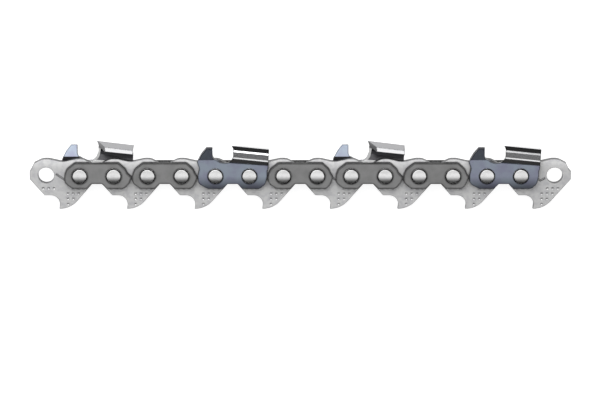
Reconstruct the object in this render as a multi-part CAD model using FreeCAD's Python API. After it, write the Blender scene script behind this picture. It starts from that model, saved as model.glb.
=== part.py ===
import FreeCAD, Part
import math
import os

# Straight length of full-chisel saw chain, lying on its right side
# X runs along the chain from its leading end to its trailing end
# Y points from the drive tangs to the cutting edges
# Z is the way of the rivets, and the left side of the chain is +Z
# The origin is the middle of the open hole in the leading drive link

# Chain
PITCH = 9.32
DRIVE_LINK_COUNT = 8
SIDE_GAP = 0.05
HOLE_CLEARANCE = 0.05
END_GAP = 0.30

# Side on which each pair of plates carries its cutter, and None for two straps
CUTTER_SIDES = ("right", None, "left", None)

# Drive link
DRIVE_THICKNESS = 1.60
NOSE_GAP = 0.34
NOSE_HALF_HEIGHT = 1.10
FRONT_STEP_DEPTH = 0.42
REAR_STEP_DEPTH = 0.66
STEP_HEIGHT = 0.65
FRONT_SHOULDER_OUT = 3.25
REAR_SHOULDER_OUT = 3.10
SHOULDER_HEIGHT = 3.45
SHOULDER_ROUND = 0.60
CROWN_HEIGHT = 4.60
CROWN_HALF_WIDTH = 0.90
CROWN_ROUND = 3.00
SADDLE_HEIGHT = 3.75
SADDLE_ROUND = 5.00
FLANK_ANGLE = 41.0
BELLY_DEPTH = 5.65
TANG_DEPTH = 9.50
TANG_FRONT = 4.00
TANG_HOOK = 0.50
THROAT_ROUND = 2.50
HEEL_ROUND = 6.40

# Oil pits and oil groove, pressed in the left face of a drive link
PIT_SIZE = 0.62
PIT_DEPTH = 0.20
PIT_SPACING = 1.47
PIT_RISE = 1.35
PIT_TANG_OUT = 1.90
TANG_PIT_ROWS = ((0, 1), (0, 2), (0, 3), (1, 3))
BELLY_PIT_COLUMNS = 3
BELLY_PIT_OUT = 0.85
BELLY_PIT_RISE = 1.95
GROOVE_WIDTH = 0.42
GROOVE_DEPTH = 0.16
GROOVE_START = (2.75, 0.30)
GROOVE_BEND = (5.45, -1.50)
GROOVE_END = (6.70, -0.80)

# Side plates, shared by straps and cutters
PLATE_THICKNESS = 1.30
LOBE_DEPTH = 3.50
LOBE_CORNER_ROUND = 1.60
FRONT_LOBE_IN = 2.10
REAR_LOBE_IN = 1.15
NOTCH_DEPTH = 2.15
NOTCH_TOP_WIDTH = 2.75

# Tie strap
STRAP_TOP = 3.65
STRAP_FRONT_REACH = 4.18
STRAP_FRONT_SHOULDER = 3.55
STRAP_REAR_SHOULDER = 3.25
STRAP_SHOULDER_HEIGHT = 1.90
STRAP_TOP_OVERHANG = 1.35
STRAP_ROUND = 1.50
STRAP_NOSE_DROP = 0.30
STRAP_NOSE_IN = 0.55
STRAP_WAIST_OUT = 3.62
STRAP_WAIST_HEIGHT = 0.85

# Rivet
RIVET_DIAMETER = 4.30
RIVET_STAND_OUT = 0.50

# Cutter body
CUTTER_FRONT_REACH = 4.74
CUTTER_WAIST_IN = 0.42
CUTTER_WAIST_HEIGHT = 2.10
CUTTER_WAIST_ROUND = 1.60
BROW_REACH = 0.26
BROW_HEIGHT = 4.00
BEND_HEIGHT = 4.75
REAR_SLANT = 0.45

# Cutter head: side plate, top plate and the file that cuts them back
TIP_HEIGHT = 8.85
TIP_SET_BACK = 4.45
REAR_OVERHANG = 5.43
HALF_KERF = 3.15
TOP_PLATE_WIDTH = 4.30
TOP_PLATE_THICKNESS = 1.30
TOP_PLATE_TILT = 7.5
TOP_RELIEF_ANGLE = 6.4
SIDE_RELIEF = 0.45
SIDE_PLATE_STAND_OFF = 0.82
SIDE_BEND_START = 5.10
SIDE_BEND_ANGLE = 4.2
SIDE_RIDGE_START = 3.60
SIDE_RIDGE = 0.35
SIDE_RIDGE_OUT = 0.10
SIDE_LEAN = 0.08
SIDE_GROOVE_RISE = 0.45
SIDE_GROOVE_DEPTH = 0.12
LIP_HEIGHT = 1.25
LIP_DRAFT = 0.20
UNDERCUT_ROUND = 0.80
UNDERCUT_EASE = 0.30
SIDE_BEND_EASE = 0.30
FILE_DIAMETER = 5.30
FILE_PROUD = 1.30
FILE_ANGLE = 25.0
GULLET_FLOOR = 3.70

# Depth gauge, bent outwards ahead of the gullet
GAUGE_SETTING = 0.70
GAUGE_LEAN = 13.5
GAUGE_FRONT = 4.70
GAUGE_TOP_FRONT = 2.45
GAUGE_REAR = 0.75
GAUGE_CROWN = 0.25
GAUGE_FOOT = 0.50
GAUGE_FOOT_ROUND = 1.20

# How far cutting shapes reach past the steel, and the length that counts as none
CUT_PAST = 1.0
NO_LENGTH = 1e-6

# Share of an edge that the rounds at its two ends may use up
ROUND_SHARE = 0.99

# Places that follow from the sizes above
REACH = (PITCH - NOSE_GAP) / 2
PLATE_INNER = DRIVE_THICKNESS / 2 + SIDE_GAP
PLATE_OUTER = PLATE_INNER + PLATE_THICKNESS
RIVET_RADIUS = RIVET_DIAMETER / 2
PLAIN_REAR_REACH = PITCH - max(CUTTER_FRONT_REACH, STRAP_FRONT_REACH) - END_GAP
LONG_REAR_REACH = PITCH - STRAP_FRONT_REACH - END_GAP
SKEW = math.tan(math.radians(FILE_ANGLE))
RELIEF = math.tan(math.radians(TOP_RELIEF_ANGLE))
BEND_FALL = math.tan(math.radians(SIDE_BEND_ANGLE))


# Outlines

def rounded_wire(corners, z):
    """Closed wire at height z through corners (x, y, radius), each corner rounded."""
    points = [FreeCAD.Vector(x, y, z) for x, y, radius in corners]
    count = len(points)
    halves, trims = [], []
    for i in range(count):
        back = points[i - 1] - points[i]
        ahead = points[(i + 1) % count] - points[i]
        half = back.getAngle(ahead) / 2
        halves.append(half)
        trims.append(corners[i][2] / math.tan(half))
    edges = []
    last = None
    first = None
    for i in range(count):
        back = points[i - 1] - points[i]
        ahead = points[(i + 1) % count] - points[i]
        room_back = back.Length / max(trims[i] + trims[i - 1], NO_LENGTH)
        room_ahead = ahead.Length / max(trims[i] + trims[(i + 1) % count], NO_LENGTH)
        trim = trims[i] * min(1.0, ROUND_SHARE * room_back, ROUND_SHARE * room_ahead)
        back.normalize()
        ahead.normalize()
        start = points[i] + back * trim
        end = points[i] + ahead * trim
        if last is not None:
            edges.append(Part.LineSegment(last, start).toShape())
        if trim > NO_LENGTH:
            radius = trim * math.tan(halves[i])
            inward = (back + ahead).normalize()
            middle = points[i] + inward * (radius / math.sin(halves[i]) - radius)
            edges.append(Part.Arc(start, middle, end).toShape())
        if first is None:
            first = start
        last = end
    edges.append(Part.LineSegment(last, first).toShape())
    return Part.Wire(edges)


def plate(corners, bottom, top):
    """Flat plate between two heights with the outline of the given corners."""
    face = Part.Face(rounded_wire(corners, bottom))
    return face.extrude(FreeCAD.Vector(0, 0, top - bottom))


def bore(x, radius, bottom, top):
    """Cylinder across the chain, on the rivet line at x."""
    return Part.makeCylinder(radius, top - bottom, FreeCAD.Vector(x, 0, bottom))


# Drive link

def drive_link_corners():
    """Outline of a drive link, with its leading hole at the origin."""
    flank = math.tan(math.radians(FLANK_ANGLE))
    belly_front = -REACH + (BELLY_DEPTH - NOSE_HALF_HEIGHT) * flank
    heel = PITCH + REACH - (TANG_DEPTH - NOSE_HALF_HEIGHT) * flank
    step_up = NOSE_HALF_HEIGHT + STEP_HEIGHT
    front = [
        (belly_front, -BELLY_DEPTH, 0),
        (-REACH, -NOSE_HALF_HEIGHT, 0),
        (-REACH, NOSE_HALF_HEIGHT, 0),
        (-REACH + FRONT_STEP_DEPTH, step_up, 0),
        (-FRONT_SHOULDER_OUT, SHOULDER_HEIGHT, SHOULDER_ROUND),
        (-CROWN_HALF_WIDTH, CROWN_HEIGHT, CROWN_ROUND),
        (CROWN_HALF_WIDTH, CROWN_HEIGHT, CROWN_ROUND),
        (PITCH / 2, SADDLE_HEIGHT, SADDLE_ROUND),
    ]
    rear = [
        (PITCH - CROWN_HALF_WIDTH, CROWN_HEIGHT, CROWN_ROUND),
        (PITCH + CROWN_HALF_WIDTH, CROWN_HEIGHT, CROWN_ROUND),
        (PITCH + REAR_SHOULDER_OUT, SHOULDER_HEIGHT, SHOULDER_ROUND),
        (PITCH + REACH - REAR_STEP_DEPTH, step_up, 0),
        (PITCH + REACH, NOSE_HALF_HEIGHT, 0),
        (PITCH + REACH, -NOSE_HALF_HEIGHT, 0),
    ]
    tang = [
        (heel, -TANG_DEPTH, HEEL_ROUND),
        (TANG_FRONT - TANG_HOOK, -TANG_DEPTH, 0),
        (TANG_FRONT, -BELLY_DEPTH, THROAT_ROUND),
    ]
    return front + rear + tang


def pit_places():
    """Middles of the oil pits: a wedge of them on the tang and one row on the belly."""
    places = []
    for row, (first, count) in enumerate(reversed(TANG_PIT_ROWS)):
        y = -TANG_DEPTH + PIT_RISE + PIT_SPACING * (len(TANG_PIT_ROWS) - 1 - row)
        for column in range(first, first + count):
            places.append((TANG_FRONT + PIT_TANG_OUT + PIT_SPACING * column, y))
    for column in range(BELLY_PIT_COLUMNS):
        places.append((PIT_SPACING * column - BELLY_PIT_OUT, BELLY_PIT_RISE - BELLY_DEPTH))
    return places


def oil_pits():
    """Pits like upside-down pyramids, sunk in the left face."""
    face_height = DRIVE_THICKNESS / 2
    mouth = PIT_SIZE
    pyramid = Part.makeWedge(-mouth, 0, -mouth, 0, 0, mouth, 2 * PIT_DEPTH, mouth, 0, 0)
    pyramid.rotate(FreeCAD.Vector(0, 0, 0), FreeCAD.Vector(1, 0, 0), -90)
    pits = []
    for x, y in pit_places():
        pit = pyramid.copy()
        pit.translate(FreeCAD.Vector(x, y, face_height + PIT_DEPTH))
        pits.append(pit)
    return pits


def groove_run(start, end):
    """Straight run of the oil groove, sunk in the left face."""
    x0, y0 = start
    x1, y1 = end
    run = Part.makeBox(math.hypot(x1 - x0, y1 - y0), GROOVE_WIDTH, 2 * GROOVE_DEPTH)
    run.translate(FreeCAD.Vector(0, -GROOVE_WIDTH / 2, -GROOVE_DEPTH))
    run.rotate(FreeCAD.Vector(0, 0, 0), FreeCAD.Vector(0, 0, 1), math.degrees(math.atan2(y1 - y0, x1 - x0)))
    run.translate(FreeCAD.Vector(x0, y0, DRIVE_THICKNESS / 2))
    return run


def drive_link():
    """Drive link with its leading hole at the origin."""
    half = DRIVE_THICKNESS / 2
    link = plate(drive_link_corners(), -half, half)
    hole_radius = RIVET_RADIUS + HOLE_CLEARANCE
    cuts = [bore(x, hole_radius, -half - CUT_PAST, half + CUT_PAST) for x in (0, PITCH)]
    groove = [groove_run(GROOVE_START, GROOVE_BEND), groove_run(GROOVE_BEND, GROOVE_END)]
    return link.cut(cuts + groove + oil_pits())


# Side plates

def lobe_corners():
    """Foot of a side plate from rear to front: two lobes with a notch between them."""
    middle = PITCH / 2
    half_notch = NOTCH_TOP_WIDTH / 2
    return [
        (PITCH + REAR_LOBE_IN + LOBE_DEPTH / 2, -LOBE_DEPTH, LOBE_CORNER_ROUND),
        (middle + half_notch + LOBE_DEPTH - NOTCH_DEPTH, -LOBE_DEPTH, 0),
        (middle + half_notch, -NOTCH_DEPTH, 0),
        (middle - half_notch, -NOTCH_DEPTH, 0),
        (middle - half_notch - LOBE_DEPTH + NOTCH_DEPTH, -LOBE_DEPTH, 0),
        (-FRONT_LOBE_IN, -LOBE_DEPTH, LOBE_CORNER_ROUND),
    ]


def rivet_holes():
    """Holes that the two rivets of a side plate fill."""
    return [bore(x, RIVET_RADIUS, PLATE_INNER - CUT_PAST, PLATE_OUTER + CUT_PAST) for x in (0, PITCH)]


def tie_strap(rear_reach):
    """Left tie strap with its leading rivet at the origin and the given rear end."""
    corners = lobe_corners() + [
        (-STRAP_FRONT_REACH, -STRAP_SHOULDER_HEIGHT, STRAP_ROUND),
        (-STRAP_FRONT_REACH, STRAP_NOSE_DROP, STRAP_ROUND),
        (-STRAP_FRONT_SHOULDER, STRAP_SHOULDER_HEIGHT, STRAP_ROUND),
        (-STRAP_TOP_OVERHANG, STRAP_TOP, 0),
        (PITCH + STRAP_TOP_OVERHANG, STRAP_TOP, 0),
        (PITCH + STRAP_REAR_SHOULDER, STRAP_SHOULDER_HEIGHT, STRAP_ROUND),
        (PITCH + STRAP_WAIST_OUT, STRAP_WAIST_HEIGHT, STRAP_ROUND),
        (PITCH + rear_reach, -STRAP_NOSE_DROP, 0),
        (PITCH + rear_reach - STRAP_NOSE_IN, -STRAP_SHOULDER_HEIGHT, STRAP_ROUND),
    ]
    strap = plate(corners, PLATE_INNER, PLATE_OUTER)
    return strap.cut(rivet_holes())


# Rivet

def rivet():
    """Rivet on the origin, from head to head."""
    end = PLATE_OUTER + RIVET_STAND_OUT
    return bore(0, RIVET_RADIUS, -end, end)


# Cutter

def file_centre(z):
    """Where the file's axis crosses height z, seen along the rivets, with its radius."""
    radius = FILE_DIAMETER / 2
    centre_height = TIP_HEIGHT + FILE_PROUD - radius
    hook = math.sqrt(radius ** 2 - (TIP_HEIGHT - centre_height) ** 2)
    at_tip = TIP_SET_BACK - hook / math.cos(math.radians(FILE_ANGLE))
    return at_tip + (HALF_KERF - z) * SKEW, centre_height, radius


def file_cut():
    """Round file laid across the cutter at the filing angle and drawn down to the gullet floor."""
    reach = 2 * HALF_KERF
    x, upper, radius = file_centre(-reach)
    lower = GULLET_FLOOR + radius
    along = FreeCAD.Vector(-math.sin(math.radians(FILE_ANGLE)), 0, math.cos(math.radians(FILE_ANGLE)))
    length = 2 * reach / along.z
    across = FreeCAD.Vector(along.z, 0, -along.x) * radius
    high = FreeCAD.Vector(x, upper, -reach)
    low = FreeCAD.Vector(x, lower, -reach)
    rounds = [Part.makeCylinder(radius, length, centre, along) for centre in (high, low)]
    if abs(upper - lower) < NO_LENGTH:
        return rounds[0]
    corners = [high - across, high + across, low + across, low - across]
    middle = Part.Face(Part.makePolygon(corners + corners[:1])).extrude(along * length)
    return rounds[0].fuse([rounds[1], middle])


def head_profile(run):
    """Cross-section of side plate and top plate, a given run behind the tip."""
    inset = SIDE_RELIEF * run / (PITCH + REAR_OVERHANG - TIP_SET_BACK)
    bend = TIP_HEIGHT - SIDE_BEND_START - run * BEND_FALL
    top = TIP_HEIGHT - run * RELIEF
    face = PLATE_OUTER + SIDE_PLATE_STAND_OFF - inset
    kerf = HALF_KERF - inset
    tilt = math.tan(math.radians(TOP_PLATE_TILT))
    ridge = top - SIDE_RIDGE_START
    lip = top - LIP_HEIGHT
    inner_edge = kerf - TOP_PLATE_WIDTH
    inner_top = top - TOP_PLATE_WIDTH * tilt
    undercut = face - PLATE_THICKNESS
    ceiling = inner_top - TOP_PLATE_THICKNESS + (undercut - inner_edge) * tilt
    outline = [
        (PLATE_OUTER, bend - PLATE_THICKNESS),
        (PLATE_OUTER, bend),
        (face + SIDE_RIDGE_OUT, ridge),
        (face, ridge + SIDE_RIDGE),
        (face + SIDE_LEAN, lip - SIDE_GROOVE_RISE),
        (face - SIDE_GROOVE_DEPTH, lip),
        (kerf - LIP_DRAFT, lip + LIP_DRAFT),
        (kerf, top),
        (inner_edge, inner_top),
        (inner_edge - LIP_DRAFT, inner_top - TOP_PLATE_THICKNESS),
        (undercut - UNDERCUT_ROUND, ceiling),
        (undercut - UNDERCUT_EASE * UNDERCUT_ROUND, ceiling - UNDERCUT_EASE * UNDERCUT_ROUND),
        (undercut, ceiling - UNDERCUT_ROUND),
        (undercut, ridge + SIDE_RIDGE),
        (PLATE_INNER, bend + SIDE_BEND_EASE * PLATE_THICKNESS),
        (PLATE_INNER, bend - PLATE_THICKNESS),
    ]
    x = TIP_SET_BACK + run
    points = [FreeCAD.Vector(x, y, z) for z, y in outline]
    return Part.makePolygon(points + points[:1])


def cutter_head():
    """Side plate and top plate, formed from one bent strip that falls away to the rear."""
    front = file_centre(0)[0] - TIP_SET_BACK
    rear = PITCH + REAR_OVERHANG + REAR_SLANT - TIP_SET_BACK
    return Part.makeLoft([head_profile(front), head_profile(rear)], True, True)


def depth_gauge():
    """Depth gauge with its flat top, leaning outwards from the bend line."""
    lean = math.radians(GAUGE_LEAN)
    height = (TIP_HEIGHT - GAUGE_SETTING - BEND_HEIGHT) / math.cos(lean)
    corners = [
        (-GAUGE_FRONT, 0, 0),
        ((-GAUGE_FRONT - GAUGE_TOP_FRONT) / 2 - GAUGE_CROWN, height / 2, height),
        (-GAUGE_TOP_FRONT, height, GAUGE_CROWN / 2),
        (-GAUGE_REAR, height, 0),
        (-GAUGE_REAR, 2 * GAUGE_FOOT, GAUGE_FOOT_ROUND),
        (-GAUGE_REAR + GAUGE_FOOT, 0, 0),
    ]
    gauge = plate(corners, PLATE_INNER, PLATE_OUTER)
    gauge.translate(FreeCAD.Vector(0, BEND_HEIGHT, 0))
    gauge.rotate(FreeCAD.Vector(0, BEND_HEIGHT, PLATE_INNER), FreeCAD.Vector(1, 0, 0), GAUGE_LEAN)
    return gauge


def cutter_body():
    """Flat lower part of a cutter, up to the bends of its depth gauge and side plate."""
    valley = file_centre(PLATE_INNER)[0]
    bend_front = TIP_HEIGHT - SIDE_BEND_START
    bend_rear = bend_front - (PITCH + REAR_OVERHANG - TIP_SET_BACK) * BEND_FALL
    rear = PITCH + LONG_REAR_REACH
    corners = lobe_corners() + [
        (-CUTTER_FRONT_REACH, -CUTTER_WAIST_HEIGHT, LOBE_CORNER_ROUND),
        (-CUTTER_FRONT_REACH, CUTTER_WAIST_IN, CUTTER_WAIST_ROUND),
        (-CUTTER_FRONT_REACH + CUTTER_WAIST_IN, CUTTER_WAIST_HEIGHT, CUTTER_WAIST_ROUND),
        (-CUTTER_FRONT_REACH - BROW_REACH, BROW_HEIGHT, BROW_REACH),
        (-GAUGE_FRONT, BEND_HEIGHT, 0),
        (-GAUGE_REAR + GAUGE_FOOT, BEND_HEIGHT, 0),
        (valley, bend_front, 0),
        (rear, bend_rear - CUTTER_WAIST_IN, CUTTER_WAIST_IN),
        (rear, 0, CUTTER_WAIST_ROUND),
        (rear - CUTTER_WAIST_IN, -CUTTER_WAIST_HEIGHT, LOBE_CORNER_ROUND),
    ]
    return plate(corners, PLATE_INNER, PLATE_OUTER)


def rear_cut():
    """Block behind the slanted rear end of a cutter."""
    top = PITCH + REAR_OVERHANG
    corners = [
        (top + REAR_SLANT, TIP_HEIGHT + CUT_PAST, 0),
        (top, TIP_HEIGHT * (1 - RELIEF), 0),
        (top - REAR_SLANT, 0, 0),
        (top + TIP_HEIGHT, 0, 0),
        (top + TIP_HEIGHT, TIP_HEIGHT + CUT_PAST, 0),
    ]
    return plate(corners, -2 * HALF_KERF, 2 * HALF_KERF)


def left_cutter():
    """Left-hand cutter with its leading rivet at the origin."""
    blank = cutter_body().fuse([depth_gauge(), cutter_head()])
    filed = blank.cut([file_cut(), rear_cut()] + rivet_holes())
    return filed.removeSplitter()


# Whole chain

def put(shape, x, right_side=False):
    """Copy of a shape, mirrored to the right side if asked, with its origin moved to x."""
    copy = shape.copy()
    if right_side:
        copy = copy.mirror(FreeCAD.Vector(0, 0, 0), FreeCAD.Vector(0, 0, 1))
    copy.translate(FreeCAD.Vector(x, 0, 0))
    return copy


def chain_nodes():
    """Every piece of the chain by name."""
    link, cutter, pin = drive_link(), left_cutter(), rivet()
    plain_strap, long_strap = tie_strap(PLAIN_REAR_REACH), tie_strap(LONG_REAR_REACH)
    nodes = {}
    for k in range(DRIVE_LINK_COUNT):
        nodes[f"drive_link_{k + 1}"] = put(link, 2 * k * PITCH)
    for k in range(DRIVE_LINK_COUNT - 1):
        x = (2 * k + 1) * PITCH
        cutter_side = CUTTER_SIDES[k % len(CUTTER_SIDES)]
        strap = long_strap if cutter_side else plain_strap
        for side in ("left", "right"):
            is_cutter = side == cutter_side
            name = "cutter" if is_cutter else "tie_strap"
            nodes[f"{side}_{name}_{k + 1}"] = put(cutter if is_cutter else strap, x, side == "right")
        nodes[f"rivet_{2 * k + 1:02d}"] = put(pin, x)
        nodes[f"rivet_{2 * k + 2:02d}"] = put(pin, x + PITCH)
    return nodes


os.makedirs("parts", exist_ok=True)
for name, shape in chain_nodes().items():
    shape.Solids[0].exportStep(f"parts/{name}.step")
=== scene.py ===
"""Looks of a straight length of saw chain, laid on its side on a pale studio floor."""

import logging
import math
from dataclasses import dataclass, field
from enum import Enum
from typing import Any, Optional

import bmesh
import bpy
from mathutils import Matrix, Vector

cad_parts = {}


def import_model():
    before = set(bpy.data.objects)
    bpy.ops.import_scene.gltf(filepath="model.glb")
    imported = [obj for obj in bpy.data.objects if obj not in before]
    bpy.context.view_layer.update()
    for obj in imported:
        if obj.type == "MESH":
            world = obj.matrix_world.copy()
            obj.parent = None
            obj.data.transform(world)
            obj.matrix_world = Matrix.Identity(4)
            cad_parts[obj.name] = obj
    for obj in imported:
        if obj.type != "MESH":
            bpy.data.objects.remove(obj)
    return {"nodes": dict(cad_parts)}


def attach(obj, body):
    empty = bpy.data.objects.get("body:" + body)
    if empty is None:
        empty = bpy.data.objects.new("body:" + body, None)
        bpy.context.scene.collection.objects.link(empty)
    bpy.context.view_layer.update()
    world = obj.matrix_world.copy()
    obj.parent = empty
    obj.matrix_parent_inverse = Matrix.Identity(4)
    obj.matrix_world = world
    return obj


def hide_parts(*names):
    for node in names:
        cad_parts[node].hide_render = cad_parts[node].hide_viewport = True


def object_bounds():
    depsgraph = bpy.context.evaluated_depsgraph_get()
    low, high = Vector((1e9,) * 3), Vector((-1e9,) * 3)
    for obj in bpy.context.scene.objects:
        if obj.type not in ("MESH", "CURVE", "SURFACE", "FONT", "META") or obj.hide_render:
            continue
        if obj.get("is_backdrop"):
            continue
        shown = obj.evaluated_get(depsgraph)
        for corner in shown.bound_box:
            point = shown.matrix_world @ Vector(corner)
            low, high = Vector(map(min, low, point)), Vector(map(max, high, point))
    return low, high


log = logging.getLogger("saw_chain")

MM = 0.001
MERGE_MM = 0.001

# Chain sizes that the finishes follow, in millimetres
PITCH = 9.32
RIVET_COUNT = 14
CUTTER_SPACING = 4 * PITCH
FIRST_CUTTER = PITCH

# Cosines of the turn at an edge between which its painted shade grows, on bare and on chromed steel
BARE_EDGE_TURN = (0.998, 0.94)
CHROME_EDGE_TURN = (0.985, 0.90)
CHROME_EDGE_SHADE = 0.95

# How much a face still looks along the rivets where it starts to be a blanked wall, and is one; blanked
# walls get painted shade
WALL_FACING = (0.40, 0.25)

# Shares of open sky at which a corner's painted shade starts and is full
CORNER_SKY = (0.92, 0.50)

# Noise values between which a blotch grows, and the octaves of blotches and grain
BLOTCH_NOISE = (0.42, 0.66)
BLOTCH_OCTAVES = 3.0
GRAIN_OCTAVES = 2.0

# Samples of the rounded rims and of the corners
RIM_SAMPLES = 6
CORNER_SAMPLES = 8


def linear(hex_colour: str) -> tuple[float, float, float, float]:
    """Turn an sRGB hex colour into a linear one.

    Args:
        hex_colour: Six hex digits with a leading hash.

    Returns:
        The linear red, green and blue with full alpha.
    """
    channels = []
    for start in (1, 3, 5):
        value = int(hex_colour[start:start + 2], 16) / 255
        if value <= 0.04045:
            channels.append(value / 12.92)
        else:
            channels.append(((value + 0.055) / 1.055) ** 2.4)
    return channels[0], channels[1], channels[2], 1.0


def add(tree: bpy.types.NodeTree, kind: str, links: Optional[dict[Any, Any]] = None,
        **settings: Any) -> bpy.types.bpy_prop_collection:
    """Add one node with its settings and links.

    Args:
        tree: Node tree that gets the node.
        kind: Node type name.
        links: Input name or index to either an output socket or a plain value.
        **settings: Attributes of the node.

    Returns:
        The node's outputs.
    """
    node = tree.nodes.new(kind)
    for name, value in settings.items():
        setattr(node, name, value)
    for name, value in (links or {}).items():
        if isinstance(value, bpy.types.NodeSocket):
            tree.links.new(value, node.inputs[name])
        else:
            node.inputs[name].default_value = value
    return node.outputs


class EdgeShade(Enum):
    """How strongly painted shade darkens the rounded edges of a piece."""

    NONE = 0.0
    LIGHT = 0.75
    STRONG = 0.9


@dataclass(frozen=True)
class SteelFinish:
    """Finish of a pressed and tumbled steel piece.

    Attributes:
        name: Material name in a maker's words.
        face: Colour of the flat faces.
        blotch: Colour of the darker blotches.
        painted_shade: Colour of the painted shade on rounded edges, blanked walls and inside corners.
        metallic: How metallic the piece is.
        roughness: Roughness of the piece.
        blotch_mm: Size of the soft colour blotches.
        grain_mm: Size of the tumbled grain, drawn coarser than real so that it shows.
        grain_depth_mm: Height of the grain.
        edge_mm: Radius of the rounded rim that blanking leaves.
        shade_reach_mm: How far in from the rim the painted shade reaches.
        edge_shade: How strongly that rim is painted dark as shade.
        corner_mm: Reach of the painted shade in inside corners.
    """

    name: str
    face: str
    blotch: str
    painted_shade: str
    metallic: float
    roughness: float
    blotch_mm: float
    grain_mm: float
    grain_depth_mm: float
    edge_mm: float
    shade_reach_mm: float
    edge_shade: EdgeShade
    corner_mm: float = 0.6


# The darkest colour of each finish below is painted shade for its rims, blanked walls and inside corners
# Pressed carbon steel, tumbled bright: the drive links are the palest plates of the chain
DRIVE_LINK_STEEL = SteelFinish(
    name="tumbled_bright_steel", face="#CDCDCD", blotch="#BEBEC0", painted_shade="#3C3C3E",
    metallic=0.35, roughness=0.42, blotch_mm=1.3, grain_mm=0.24, grain_depth_mm=0.010,
    edge_mm=0.10, shade_reach_mm=0.30, edge_shade=EdgeShade.LIGHT, corner_mm=0.45)

# Pressed carbon steel, hardened and tumbled: an even dull grey, with painted shade along its rim
STRAP_STEEL = SteelFinish(
    name="hardened_grey_steel", face="#888888", blotch="#7E7E7E", painted_shade="#1E1E1E",
    metallic=0.45, roughness=0.58, blotch_mm=3.0, grain_mm=0.20, grain_depth_mm=0.004,
    edge_mm=0.20, shade_reach_mm=0.75, edge_shade=EdgeShade.STRONG)

# Rivet steel, peened and burnished by the riveting tool: bright with a soft gloss
RIVET_STEEL = SteelFinish(
    name="burnished_rivet_steel", face="#F4F4F4", blotch="#ECECEC", painted_shade="#242424",
    metallic=1.0, roughness=0.14, blotch_mm=1.5, grain_mm=0.35, grain_depth_mm=0.0,
    edge_mm=0.03, shade_reach_mm=0.05, edge_shade=EdgeShade.NONE, corner_mm=0.35)

# Cutter steel, hardened and tempered: a blue-grey skin that shades into violet
CUTTER_STEEL = SteelFinish(
    name="tempered_cutter_steel", face="#A2ACBA", blotch="#989BB0", painted_shade="#1C1E26",
    metallic=0.90, roughness=0.34, blotch_mm=3.4, grain_mm=0.22, grain_depth_mm=0.005,
    edge_mm=0.12, shade_reach_mm=0.45, edge_shade=EdgeShade.STRONG)


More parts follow.
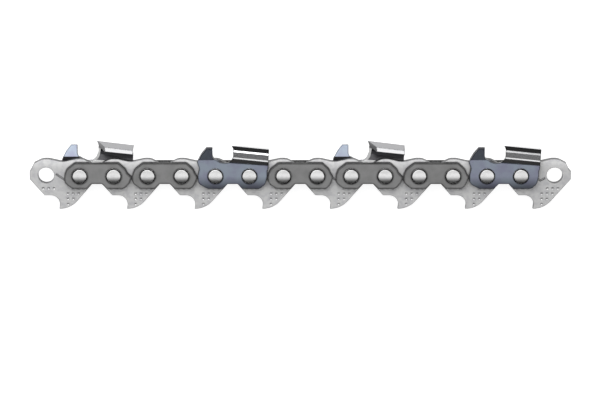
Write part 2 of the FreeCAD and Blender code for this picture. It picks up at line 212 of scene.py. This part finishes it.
class SteelMaterial:
    """Builds the node tree of one steel finish."""

    def __init__(self, finish: SteelFinish) -> None:
        """Start the material with its place, its way of facing and its rounded rim.

        Args:
            finish: The finish to build.
        """
        self.finish = finish
        self.material = bpy.data.materials.new(finish.name)
        self.material.use_nodes = True
        self.tree = self.material.node_tree
        self.tree.nodes.clear()
        self.place = add(self.tree, "ShaderNodeTexCoord")["Object"]
        self.normal = add(self.tree, "ShaderNodeNewGeometry")["True Normal"]
        self.facing = add(self.tree, "ShaderNodeSeparateXYZ", {0: self.normal})
        self.rim = add(self.tree, "ShaderNodeBevel", {"Radius": finish.edge_mm * MM},
                       samples=RIM_SAMPLES)[0]
        wide = add(self.tree, "ShaderNodeBevel", {"Radius": finish.shade_reach_mm * MM}, samples=RIM_SAMPLES)
        self.turn = add(self.tree, "ShaderNodeVectorMath", {0: wide[0], 1: self.normal},
                        operation="DOT_PRODUCT")["Value"]

    def noise(self, size_mm: float, detail: float) -> bpy.types.NodeSocket:
        """Noise whose spots have a given size.

        Args:
            size_mm: Size of a spot on the steel.
            detail: Octaves of the noise.

        Returns:
            The noise value socket.
        """
        return add(self.tree, "ShaderNodeTexNoise",
                   {"Vector": self.place, "Scale": 1 / (size_mm * MM), "Detail": detail})[0]

    def edges(self, turns: tuple[float, float], most: float) -> bpy.types.NodeSocket:
        """Mask of the painted shade beside an edge.

        Args:
            turns: Cosines of the edge's turn at which the mask starts and is full.
            most: Value of the full mask.

        Returns:
            The mask, which is 0 away from edges.
        """
        start, full = turns
        return add(self.tree, "ShaderNodeMapRange", {0: self.turn, 1: start, 2: full, 4: most})[0]

    def painted_shade(self) -> bpy.types.NodeSocket:
        """Mask of the painted shade: rounded rims, blanked walls and inside corners.

        Returns:
            1 where shade is painted and 0 on the open faces.
        """
        tree, finish = self.tree, self.finish
        # Painted shade: rims by their turn, blanked walls by their facing, inside corners by ambient
        # occlusion
        rim = self.edges(BARE_EDGE_TURN, finish.edge_shade.value)
        flat = add(tree, "ShaderNodeMath", {0: self.facing["Z"]}, operation="ABSOLUTE")
        wall = add(tree, "ShaderNodeMapRange", {0: flat[0], 1: WALL_FACING[0], 2: WALL_FACING[1]})
        open_sky = add(tree, "ShaderNodeAmbientOcclusion", {"Distance": finish.corner_mm * MM},
                       samples=CORNER_SAMPLES)
        corner = add(tree, "ShaderNodeMapRange", {0: open_sky["AO"], 1: CORNER_SKY[0], 2: CORNER_SKY[1]})
        dark = add(tree, "ShaderNodeMath", {0: rim, 1: wall[0]}, operation="MAXIMUM")
        return add(tree, "ShaderNodeMath", {0: dark[0], 1: corner[0]}, operation="MAXIMUM")[0]

    def face_colour(self) -> bpy.types.NodeSocket:
        """Colour of the open faces with their soft blotches.

        Returns:
            The colour socket.
        """
        finish = self.finish
        start, full = BLOTCH_NOISE
        spots = add(self.tree, "ShaderNodeMapRange",
                    {0: self.noise(finish.blotch_mm, BLOTCH_OCTAVES), 1: start, 2: full})
        return add(self.tree, "ShaderNodeMix",
                   {0: spots[0], 6: linear(finish.face), 7: linear(finish.blotch)}, data_type="RGBA")[2]

    def relief(self) -> bpy.types.NodeSocket:
        """Normal with rounded rims and tumbled grain.

        Returns:
            The normal socket.
        """
        finish = self.finish
        return add(self.tree, "ShaderNodeBump",
                   {"Height": self.noise(finish.grain_mm, GRAIN_OCTAVES), "Normal": self.rim,
                    "Distance": finish.grain_depth_mm * MM})[0]

    def build(self) -> bpy.types.Material:
        """Link the shader.

        Returns:
            The finished material.
        """
        tree = self.tree
        # Painted shade mixed over the face colour
        colour = add(tree, "ShaderNodeMix",
                     {0: self.painted_shade(), 6: self.face_colour(), 7: linear(self.finish.painted_shade)},
                     data_type="RGBA")
        shader = add(tree, "ShaderNodeBsdfPrincipled",
                     {"Base Color": colour[2], "Metallic": self.finish.metallic,
                      "Roughness": self.finish.roughness, "Normal": self.relief()})
        add(tree, "ShaderNodeOutputMaterial", {"Surface": shader[0]})
        return self.material


@dataclass(frozen=True)
class HeadFinish:
    """Hard chrome and ground faces of the cutting head.

    Attributes:
        chrome: Colour of the chromed side plate.
        top: Colour of the chromed top plate, painted darker than the side plate as shade.
        filed: Colour of the round-filed gullet.
        cut: Colour of the top plate's ground cutting face.
        inside: Colour of the unplated hollow under the top plate, whose darkness is partly painted shade.
        lit_inner: Near-white colour of the inner face behind the gullet, a painted light.
        foot: Colour of the inner face under the depth gauge, dark as painted shade.
        inner_metallic: How metallic the inner faces are; they are duller, so that their painted light and
            shade show.
        foot_shade: Brightness that the painted shade leaves on the tempered skin at the cutter's feet.
        roughness: Roughness of the chrome.
        start_mm: Where the head starts behind the leading rivet.
        tip_back_mm: How far the cutting corner is behind the leading rivet.
        relief: How much the head falls for its length.
        bend_mm: Height of the side plate's bend at the cutting corner.
        ceiling_mm: Height of the hollow's ceiling at the cutting corner.
        hollow_mm: Distance of the hollow's wall from the middle of the chain.
        inner_mm: Distance of the body's inner face from the middle of the chain.
        fade_mm: Heights over the rivets where the painted shade towards the feet starts and ends.
        gullet_mm: Heights over the rivets between which the filed gullet starts.
        soft_mm: Width of the border between two finishes.
        inwards: How far a face leans to the middle of the chain before it counts as an inner face.
        forwards: How far a face leans forwards before it counts as a ground face.
        upwards: How far a face leans to the cutting edges before it counts as the top plate's top.
    """

    chrome: str = "#F0F0F2"
    top: str = "#8E8E90"
    filed: str = "#A4A4A4"
    cut: str = "#303032"
    inside: str = "#2C2C30"
    lit_inner: str = "#F4F4F4"
    foot: str = "#121318"
    inner_metallic: float = 0.35
    foot_shade: float = 0.30
    roughness: float = 0.10
    start_mm: float = 1.6
    tip_back_mm: float = 4.5
    relief: float = 0.0945
    bend_mm: float = 3.95
    ceiling_mm: float = 7.05
    hollow_mm: float = 2.05
    inner_mm: float = 0.85
    fade_mm: tuple[float, float] = (0.0, -3.0)
    gullet_mm: tuple[float, float] = (3.4, 3.6)
    soft_mm: float = 0.1
    inwards: tuple[float, float] = (-0.3, -0.5)
    forwards: tuple[float, float] = (-0.12, -0.30)
    upwards: tuple[float, float] = (0.85, 0.95)


@dataclass(frozen=True)
class CrownGlare:
    """Painted glare that brightens the crowns of the drive links.

    Attributes:
        gain: How much brighter the painted glare makes the crown's top than the plate.
        from_mm: Height over the rivets where the painted glare starts.
        full_mm: Height over the rivets where the painted glare is full.
        rising: Lean to the crowns at which a face starts to be a lower slope that faces the light and
            keeps no painted shade, and is one.
        sloping: Lean to the chain's left side at which such a face is no wall any more.
    """

    gain: float = 1.32
    from_mm: float = 1.8
    full_mm: float = 3.6
    rising: tuple[float, float] = (0.20, 0.35)
    sloping: tuple[float, float] = (0.15, 0.25)


class DriveLinkMaterial(SteelMaterial):
    """Tumbled plate with a painted glare on its crowns."""

    def __init__(self, finish: SteelFinish, crown_glare: CrownGlare) -> None:
        """Start the drive link material.

        Args:
            finish: Finish of the plate.
            crown_glare: Painted glare on the crowns.
        """
        super().__init__(finish)
        self.crown_glare = crown_glare

    def painted_shade(self) -> bpy.types.NodeSocket:
        """Mask of the painted shade, left off the lower slopes of pits and groove, which face the light
        and stay bright as painted light.

        Returns:
            1 where shade is painted and 0 on the open faces and on the lit lower slopes of pits and
            groove.
        """
        tree = self.tree
        masks = []
        # Faces that look up towards the crowns and out to the side keep no painted shade, as slopes lit
        # from above
        for way, (start, full) in (("Y", self.crown_glare.rising), ("Z", self.crown_glare.sloping)):
            masks.append(add(tree, "ShaderNodeMapRange",
                             {0: self.facing[way], 1: start, 2: full, 3: 1.0, 4: 0.0})[0])
        kept = add(tree, "ShaderNodeMath", {0: masks[0], 1: masks[1]}, operation="MAXIMUM")
        return add(tree, "ShaderNodeMath", {0: super().painted_shade(), 1: kept[0]}, operation="MULTIPLY")[0]

    def face_colour(self) -> bpy.types.NodeSocket:
        """Colour of the plate, brighter towards the crowns as painted glare.

        Returns:
            The colour socket.
        """
        tree, crown_glare = self.tree, self.crown_glare
        at = add(tree, "ShaderNodeSeparateXYZ", {0: self.place})
        # Painted glare: the face colour grows brighter towards the crowns
        gain = add(tree, "ShaderNodeMapRange",
                   {0: at["Y"], 1: crown_glare.from_mm * MM, 2: crown_glare.full_mm * MM, 3: 1.0, 4: crown_glare.gain})
        return add(tree, "ShaderNodeVectorMath", {0: super().face_colour(), "Scale": gain[0]},
                   operation="SCALE")[0]


class CutterMaterial(SteelMaterial):
    """Tempered body and gauge with a chromed head, told apart by their place on the cutter."""

    def __init__(self, finish: SteelFinish, head: HeadFinish) -> None:
        """Start the cutter material and work out the place on the cutter.

        Args:
            finish: Finish of the tempered body.
            head: Finish of the head.
        """
        super().__init__(finish)
        self.head = head
        tree = self.tree
        at_mm = add(tree, "ShaderNodeVectorMath", {0: self.place, "Scale": 1 / MM}, operation="SCALE")
        at = add(tree, "ShaderNodeSeparateXYZ", {0: at_mm[0]})
        shift = add(tree, "ShaderNodeMath", {0: at["X"], 1: CUTTER_SPACING / 2 - FIRST_CUTTER})
        wrapped = add(tree, "ShaderNodeMath", {0: shift[0], 1: CUTTER_SPACING}, operation="FLOORED_MODULO")
        run = add(tree, "ShaderNodeMath", {0: wrapped[0], 1: CUTTER_SPACING / 2}, operation="SUBTRACT")
        behind_tip = add(tree, "ShaderNodeMath", {0: run[0], 1: head.tip_back_mm}, operation="SUBTRACT")
        self.level = add(tree, "ShaderNodeMath", {0: behind_tip[0], 1: head.relief, 2: at["Y"]},
                         operation="MULTIPLY_ADD")[0]
        self.height = at["Y"]
        self.depth = add(tree, "ShaderNodeMath", {0: at["Z"]}, operation="ABSOLUTE")[0]
        self.side = add(tree, "ShaderNodeMath", {0: at["Z"]}, operation="SIGN")[0]
        self.behind = add(tree, "ShaderNodeMapRange",
                          {0: run[0], 1: head.start_mm, 2: head.start_mm + 2 * head.soft_mm})[0]

    def plated(self) -> bpy.types.NodeSocket:
        """Mask of the side plate and top plate.

        Returns:
            1 on the head and 0 on the body and the gauge.
        """
        above = add(self.tree, "ShaderNodeMapRange",
                    {0: self.level, 1: self.head.bend_mm, 2: self.head.bend_mm + 1.5 * self.head.soft_mm})
        return add(self.tree, "ShaderNodeMath", {0: self.behind, 1: above[0]}, operation="MULTIPLY")[0]

    def hollow(self, plated: bpy.types.NodeSocket) -> bpy.types.NodeSocket:
        """Mask of the unplated hollow between side plate and top plate, whose dark colour is partly
        painted shade.

        Args:
            plated: Mask of the whole head.

        Returns:
            1 in the hollow and 0 elsewhere.
        """
        tree, head = self.tree, self.head
        inner = add(tree, "ShaderNodeMapRange",
                    {0: self.depth, 1: head.hollow_mm + head.soft_mm, 2: head.hollow_mm})
        under = add(tree, "ShaderNodeMapRange",
                    {0: self.level, 1: head.ceiling_mm + head.soft_mm, 2: head.ceiling_mm})
        both = add(tree, "ShaderNodeMath", {0: inner[0], 1: under[0]}, operation="MULTIPLY")
        return add(tree, "ShaderNodeMath", {0: both[0], 1: plated}, operation="MULTIPLY")[0]

    def skin(self) -> bpy.types.NodeSocket:
        """Tempered skin of the body, with painted shade on its rims and towards its foot.

        Returns:
            The colour socket.
        """
        tree, head = self.tree, self.head
        start, end = head.fade_mm
        # Painted shade: the skin darkens towards the cutter's feet
        fade = add(tree, "ShaderNodeMapRange",
                   {0: self.height, 1: start, 2: end, 3: 1.0, 4: head.foot_shade})
        shade = add(tree, "ShaderNodeVectorMath", {0: self.face_colour(), "Scale": fade[0]},
                    operation="SCALE")
        return add(tree, "ShaderNodeMix", {0: self.painted_shade(), 6: shade[0], 7: linear(self.finish.painted_shade)},
                   data_type="RGBA")[2]

    def inwards(self) -> bpy.types.NodeSocket:
        """Mask of the faces that look at the middle of the chain.

        Returns:
            1 on the body's inner face and, behind the gullet, on the side plate's too.
        """
        tree, head = self.tree, self.head
        start, full = head.inwards
        flat = add(tree, "ShaderNodeMapRange",
                   {0: self.depth, 1: head.inner_mm + 0.5 * head.soft_mm,
                    2: head.inner_mm + 0.2 * head.soft_mm})
        turned = add(tree, "ShaderNodeMath", {0: self.facing["Z"], 1: self.side}, operation="MULTIPLY")
        back = add(tree, "ShaderNodeMapRange", {0: turned[0], 1: start, 2: full})
        both = add(tree, "ShaderNodeMath", {0: back[0], 1: self.behind}, operation="MULTIPLY")
        return add(tree, "ShaderNodeMath", {0: flat[0], 1: both[0]}, operation="MAXIMUM")[0]

    def inner_face(self, outside: bpy.types.NodeSocket,
                   inwards: bpy.types.NodeSocket) -> bpy.types.NodeSocket:
        """Lay the painted light and the painted shade patches over the inner faces.

        Args:
            outside: Colour of the rest of the cutter.
            inwards: Mask of the inner faces.

        Returns:
            The colour socket.
        """
        tree, head = self.tree, self.head
        # Inner faces: painted shade under the gauge, painted light behind the gullet
        patches = add(tree, "ShaderNodeMix", {0: self.behind, 6: linear(head.foot), 7: linear(head.lit_inner)},
                      data_type="RGBA")
        return add(tree, "ShaderNodeMix", {0: inwards, 6: outside, 7: patches[2]}, data_type="RGBA")[2]

    def ground(self) -> bpy.types.NodeSocket:
        """Mask of the gullet and cutting faces, which face forwards.

        Returns:
            1 on the ground faces and 0 elsewhere.
        """
        tree, head = self.tree, self.head
        front = add(tree, "ShaderNodeMapRange",
                    {0: self.facing["X"], 1: head.forwards[0], 2: head.forwards[1]})
        raised = add(tree, "ShaderNodeMapRange",
                     {0: self.height, 1: head.gullet_mm[0], 2: head.gullet_mm[1]})
        both = add(tree, "ShaderNodeMath", {0: front[0], 1: raised[0]}, operation="MULTIPLY")
        return add(tree, "ShaderNodeMath", {0: both[0], 1: self.behind}, operation="MULTIPLY")[0]

    def build(self) -> bpy.types.Material:
        """Lay the head's finishes over the tempered body.

        Returns:
            The finished material.
        """
        tree, head, finish = self.tree, self.head, self.finish
        # Painted shade: faces that look up to the cutting edges get the darker top colour
        upward = add(tree, "ShaderNodeMapRange",
                     {0: self.facing["Y"], 1: head.upwards[0], 2: head.upwards[1]})
        bright = add(tree, "ShaderNodeMix", {0: upward[0], 6: linear(head.chrome), 7: linear(head.top)},
                     data_type="RGBA")
        # Painted shade along the chrome's edges
        chrome = add(tree, "ShaderNodeMix",
                     {0: self.edges(CHROME_EDGE_TURN, CHROME_EDGE_SHADE), 6: bright[2],
                      7: linear(finish.painted_shade)}, data_type="RGBA")
        plated = self.plated()
        hollow = self.hollow(plated)
        inwards = self.inwards()
        body = self.inner_face(self.skin(), inwards)
        coated = add(tree, "ShaderNodeMix", {0: plated, 6: body, 7: chrome[2]}, data_type="RGBA")
        # Unplated hollow, its dark colour partly painted shade
        hollowed = add(tree, "ShaderNodeMix", {0: hollow, 6: coated[2], 7: linear(head.inside)},
                       data_type="RGBA")
        over = add(tree, "ShaderNodeMapRange",
                   {0: self.level, 1: head.ceiling_mm - head.soft_mm, 2: head.ceiling_mm + head.soft_mm})
        steel = add(tree, "ShaderNodeMix", {0: over[0], 6: linear(head.filed), 7: linear(head.cut)},
                    data_type="RGBA")
        colour = add(tree, "ShaderNodeMix", {0: self.ground(), 6: hollowed[2], 7: steel[2]},
                     data_type="RGBA")
        shiny = add(tree, "ShaderNodeMath", {0: plated, 1: hollow}, operation="SUBTRACT")
        rough = add(tree, "ShaderNodeMapRange", {0: shiny[0], 3: finish.roughness, 4: head.roughness})
        # Inner faces are duller, so that their painted light and shade show
        dulled_inner = add(tree, "ShaderNodeMapRange", {0: inwards, 3: finish.metallic, 4: head.inner_metallic})
        metal = add(tree, "ShaderNodeMapRange", {0: shiny[0], 3: dulled_inner[0], 4: 1.0})
        shader = add(tree, "ShaderNodeBsdfPrincipled",
                     {"Base Color": colour[2], "Metallic": metal[0], "Roughness": rough[0],
                      "Normal": self.relief()})
        add(tree, "ShaderNodeOutputMaterial", {"Surface": shader[0]})
        return self.material


@dataclass
class PressedPieces:
    """CAD nodes of one kind that share a finish.

    Attributes:
        label: What the pieces are, for the log.
        word: Word that every node's name holds.
    """

    label: str
    word: str

    def dress(self, nodes: dict[str, bpy.types.Object], material: bpy.types.Material) -> None:
        """Give every piece the finish.

        Args:
            nodes: Every CAD node by name.
            material: The finish.
        """
        for name, item in sorted(nodes.items()):
            if self.word in name:
                item.data.materials.clear()
                item.data.materials.append(material)
                log.info("%s: %s in %s", self.label, name, material.name)


@dataclass
class PeenedRivets:
    """Turned rivets with peened heads, which stand for the plain pins.

    Attributes:
        radius_mm: Radius of the rivet in its holes.
        top_mm: Height of the head over the middle of the chain.
        crown_mm: Fall of the head's gentle crown.
        button_mm: Radius of the burnished button.
        round_mm: Size of the button's rounded rim.
        groove_radius_mm: Radius of the peened groove round the button.
        groove_mm: Height of the groove's bottom.
        lip_mm: Height of the upset lip outside the groove.
        lip_round_mm: Size of the lip's broken edge.
        sharp_deg: Turn over which an edge of the rivet stays sharp.
        steps: Pieces of the crown and of the rounded rim.
        turns: Pieces round the rivet.
    """

    radius_mm: float = 2.15
    top_mm: float = 2.65
    crown_mm: float = 0.08
    button_mm: float = 1.88
    round_mm: float = 0.07
    groove_radius_mm: float = 2.00
    groove_mm: float = 1.78
    lip_mm: float = 2.19
    lip_round_mm: float = 0.02
    sharp_deg: float = 40.0
    steps: int = 5
    turns: int = 64

    def profile(self) -> list[tuple[float, float]]:
        """Draw the outline of the rivet's left half.

        Returns:
            Radius and height of each point, from the head's middle outwards and down.
        """
        flat = self.button_mm - self.round_mm
        points = []
        for step in range(self.steps + 1):
            share = step / self.steps
            points.append((flat * share, self.top_mm - self.crown_mm * share ** 2))
        for step in range(1, self.steps + 1):
            angle = math.radians(90) * step / self.steps
            points.append((flat + self.round_mm * math.sin(angle),
                           self.top_mm - self.crown_mm - self.round_mm * (1 - math.cos(angle))))
        points.append((self.groove_radius_mm, self.groove_mm))
        points.append((self.radius_mm - self.lip_round_mm, self.lip_mm))
        points.append((self.radius_mm, self.lip_mm - self.lip_round_mm))
        return points

    def build(self, number: int, material: bpy.types.Material) -> None:
        """Turn one rivet and set it in its pair of plates.

        Args:
            number: Place of the rivet along the chain, from 1.
            material: The finish.
        """
        half = [(radius * MM, height * MM) for radius, height in self.profile()]
        outline = half + [(radius, -height) for radius, height in reversed(half)]
        shape = bmesh.new()
        dots = [shape.verts.new((radius, 0, height)) for radius, height in outline]
        for first, second in zip(dots, dots[1:]):
            shape.edges.new((first, second))
        bmesh.ops.spin(shape, geom=shape.verts[:] + shape.edges[:], cent=(0, 0, 0), axis=(0, 0, 1),
                       angle=math.tau, steps=self.turns, use_merge=True)
        bmesh.ops.remove_doubles(shape, verts=shape.verts, dist=MERGE_MM * MM)
        bmesh.ops.recalc_face_normals(shape, faces=shape.faces)
        bmesh.ops.translate(shape, verts=shape.verts, vec=(number * PITCH * MM, 0, 0))
        name = f"peened_rivet_{number:02d}"
        mesh = bpy.data.meshes.new(name)
        shape.to_mesh(mesh)
        shape.free()
        mesh.shade_smooth()
        mesh.set_sharp_from_angle(angle=math.radians(self.sharp_deg))
        mesh.materials.append(material)
        item = bpy.data.objects.new(name, mesh)
        bpy.context.scene.collection.objects.link(item)
        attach(item, f"pair_{(number + 1) // 2}")
        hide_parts(f"rivet_{number:02d}")
        log.info("rivet: %s", name)


@dataclass
class SawChain:
    """The whole chain: its pressed pieces, its rivets and their finishes.

    Attributes:
        links: The drive links.
        straps: The tie straps.
        cutters: The cutters.
        pins: The plain pins under the rivets.
        rivets: The turned rivets.
    """

    links: PressedPieces = field(default_factory=lambda: PressedPieces("drive link", "drive_link"))
    straps: PressedPieces = field(default_factory=lambda: PressedPieces("tie strap", "tie_strap"))
    cutters: PressedPieces = field(default_factory=lambda: PressedPieces("cutter", "cutter"))
    pins: PressedPieces = field(default_factory=lambda: PressedPieces("plain pin", "rivet"))
    rivets: PeenedRivets = field(default_factory=PeenedRivets)

    def build(self, nodes: dict[str, bpy.types.Object]) -> None:
        """Dress every CAD node and set the rivets.

        Args:
            nodes: Every CAD node by name.
        """
        self.links.dress(nodes, DriveLinkMaterial(DRIVE_LINK_STEEL, CrownGlare()).build())
        self.straps.dress(nodes, SteelMaterial(STRAP_STEEL).build())
        self.cutters.dress(nodes, CutterMaterial(CUTTER_STEEL, HeadFinish()).build())
        burnished = SteelMaterial(RIVET_STEEL).build()
        self.pins.dress(nodes, burnished)
        for number in range(1, RIVET_COUNT + 1):
            self.rivets.build(number, burnished)


@dataclass(frozen=True)
class Softbox:
    """Square soft lamp that faces the chain.

    Attributes:
        name: Name of the lamp.
        place_mm: Where the lamp hangs, from the point that the camera looks at.
        side_mm: Side of the lamp.
        watts: Power of the lamp.
    """

    name: str
    place_mm: tuple[float, float, float]
    side_mm: float
    watts: float


@dataclass
class Studio:
    """Pale floor, soft light and the camera of the photograph.

    Attributes:
        floor_half_m: Half the floor's side.
        floor_colour: Colour of the paper on the floor.
        floor_lift: Light that the paper adds where the camera, gloss or glass sees it.
        surround: Strength of the surround at each height of direction, from the tangs' side up.
        brightest: Strength that the surround's scale ends at.
        softboxes: The lamps over the cutters' side.
        centre_mm: Point of the chain that the camera looks at.
        distance_mm: How far the camera stands off.
        elevation_deg: How far the camera is raised from the rivets' way towards the cutters.
        scale_px: Photograph pixels for one millimetre at the chain.
        width_px: Width of the photograph.
        sensor_mm: Width of the camera's sensor.
        clip_m: Nearest and farthest distance that the camera sees.
    """

    floor_half_m: float = 2.0
    floor_colour: str = "#A8A8A8"
    floor_lift: float = 0.86
    surround: tuple[tuple[float, float], ...] = (
        (-1.0, 0.05), (-0.66, 0.03), (-0.46, 0.03), (-0.34, 0.05), (-0.29, 0.45), (-0.25, 1.05),
        (-0.18, 1.20), (-0.10, 0.90), (0.00, 1.00), (0.20, 1.75), (0.36, 1.00), (0.60, 0.85), (0.82, 1.30),
        (0.94, 1.10), (1.0, 0.45))
    brightest: float = 1.8
    softboxes: tuple[Softbox, ...] = (
        Softbox("overhead_softbox", (-120, 520, 420), 500, 1.2),
        Softbox("upper_fill", (-30, 125, 60), 240, 0.22))
    centre_mm: tuple[float, float, float] = (69.81, -7.2, 0.0)
    distance_mm: float = 800.0
    elevation_deg: float = 14.0
    scale_px: float = 3.6255
    width_px: int = 600
    sensor_mm: float = 36.0
    clip_m: tuple[float, float] = (0.01, 20.0)

    def floor(self, level: float) -> None:
        """Build the floor under the chain.

        Args:
            level: Height of the chain's lowest point.
        """
        shape = bmesh.new()
        bmesh.ops.create_grid(shape, x_segments=1, y_segments=1, size=self.floor_half_m)
        bmesh.ops.translate(shape, verts=shape.verts, vec=(self.centre_mm[0] * MM, 0, level))
        mesh = bpy.data.meshes.new("studio_floor")
        shape.to_mesh(mesh)
        shape.free()
        mesh.materials.append(self.paper())
        item = bpy.data.objects.new("studio_floor", mesh)
        bpy.context.scene.collection.objects.link(item)
        item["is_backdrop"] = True

    def paper(self) -> bpy.types.Material:
        """Matt paper that the camera, gloss and glass see as white.

        Returns:
            The floor's material.
        """
        material = bpy.data.materials.new("matt_studio_paper")
        material.use_nodes = True
        tree = material.node_tree
        tree.nodes.clear()
        paper = add(tree, "ShaderNodeBsdfDiffuse", {"Color": linear(self.floor_colour)})
        path = add(tree, "ShaderNodeLightPath")
        mirrored = add(tree, "ShaderNodeMath",
                       {0: path["Is Glossy Ray"], 1: path["Is Transmission Ray"]}, operation="MAXIMUM")
        seen = add(tree, "ShaderNodeMath", {0: path["Is Camera Ray"], 1: mirrored[0]}, operation="MAXIMUM")
        strength = add(tree, "ShaderNodeMath", {0: seen[0], 1: self.floor_lift}, operation="MULTIPLY")
        lift = add(tree, "ShaderNodeEmission", {"Strength": strength[0]})
        total = add(tree, "ShaderNodeAddShader", {0: paper[0], 1: lift[0]})
        add(tree, "ShaderNodeOutputMaterial", {"Surface": total[0]})
        return material

    def world(self) -> None:
        """Soft surround: bright over the cutters' side and dark on the tangs' side."""
        world = bpy.data.worlds.new("studio_surround")
        bpy.context.scene.world = world
        world.use_nodes = True
        tree = world.node_tree
        tree.nodes.clear()
        place = add(tree, "ShaderNodeTexCoord")
        rise = add(tree, "ShaderNodeSeparateXYZ", {0: place["Generated"]})
        share = add(tree, "ShaderNodeMapRange", {0: rise["Y"], 1: -1.0, 2: 1.0})
        bands = add(tree, "ShaderNodeValToRGB", {0: share[0]})
        stops = bands[0].node.color_ramp.elements
        while len(stops) < len(self.surround):
            stops.new(1.0)
        for stop, (height, strength) in zip(stops, self.surround):
            stop.position = (height + 1) / 2
            stop.color = (strength / self.brightest,) * 3 + (1,)
        glow = add(tree, "ShaderNodeMath", {0: bands[0], 1: self.brightest}, operation="MULTIPLY")
        around = add(tree, "ShaderNodeBackground", {"Strength": glow[0]})
        white = add(tree, "ShaderNodeBackground", {"Color": (1, 1, 1, 1)})
        path = add(tree, "ShaderNodeLightPath")
        shown = add(tree, "ShaderNodeMixShader", {0: path["Is Camera Ray"], 1: around[0], 2: white[0]})
        add(tree, "ShaderNodeOutputWorld", {"Surface": shown[0]})

    def lamp(self, box: Softbox) -> None:
        """Hang one lamp.

        Args:
            box: The lamp.
        """
        data = bpy.data.lights.new(box.name, "AREA")
        data.size = box.side_mm * MM
        data.energy = box.watts
        item = bpy.data.objects.new(box.name, data)
        centre = Vector(self.centre_mm) * MM
        item.location = centre + Vector(box.place_mm) * MM
        item.rotation_euler = (centre - item.location).to_track_quat("-Z", "Y").to_euler()
        bpy.context.scene.collection.objects.link(item)

    def camera(self) -> None:
        """Place the camera at the photograph's viewing angle."""
        data = bpy.data.cameras.new("photo_camera")
        data.sensor_width = self.sensor_mm
        data.lens = self.sensor_mm * self.scale_px * self.distance_mm / self.width_px
        data.clip_start, data.clip_end = self.clip_m
        item = bpy.data.objects.new("photo_camera", data)
        angle = math.radians(self.elevation_deg)
        away = Vector((0, math.sin(angle), math.cos(angle)))
        centre = Vector(self.centre_mm) * MM
        turn = Matrix.Rotation(-angle, 4, "X")
        item.matrix_world = Matrix.Translation(centre + away * self.distance_mm * MM) @ turn
        bpy.context.scene.collection.objects.link(item)
        bpy.context.scene.camera = item

    def build(self, level: float) -> None:
        """Set up the whole studio.

        Args:
            level: Height of the chain's lowest point.
        """
        self.floor(level)
        self.world()
        for box in self.softboxes:
            self.lamp(box)
        self.camera()
        bpy.context.scene.view_settings.view_transform = "Standard"
        log.info("studio: floor, surround, lamps and camera")


def corners(box: Any) -> list[list[float]]:
    """Turn the two corners of a box into plain lists."""
    return [[float(value) for value in corner] for corner in box]


def main() -> None:
    """Load the frame, dress the chain and set up the studio."""
    logging.basicConfig(level=logging.INFO, format="%(name)s %(message)s")
    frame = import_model()
    solid_box = corners(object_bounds())
    SawChain().build(frame["nodes"])
    Studio().build(solid_box[0][2])


if __name__ == "__main__":
    main()
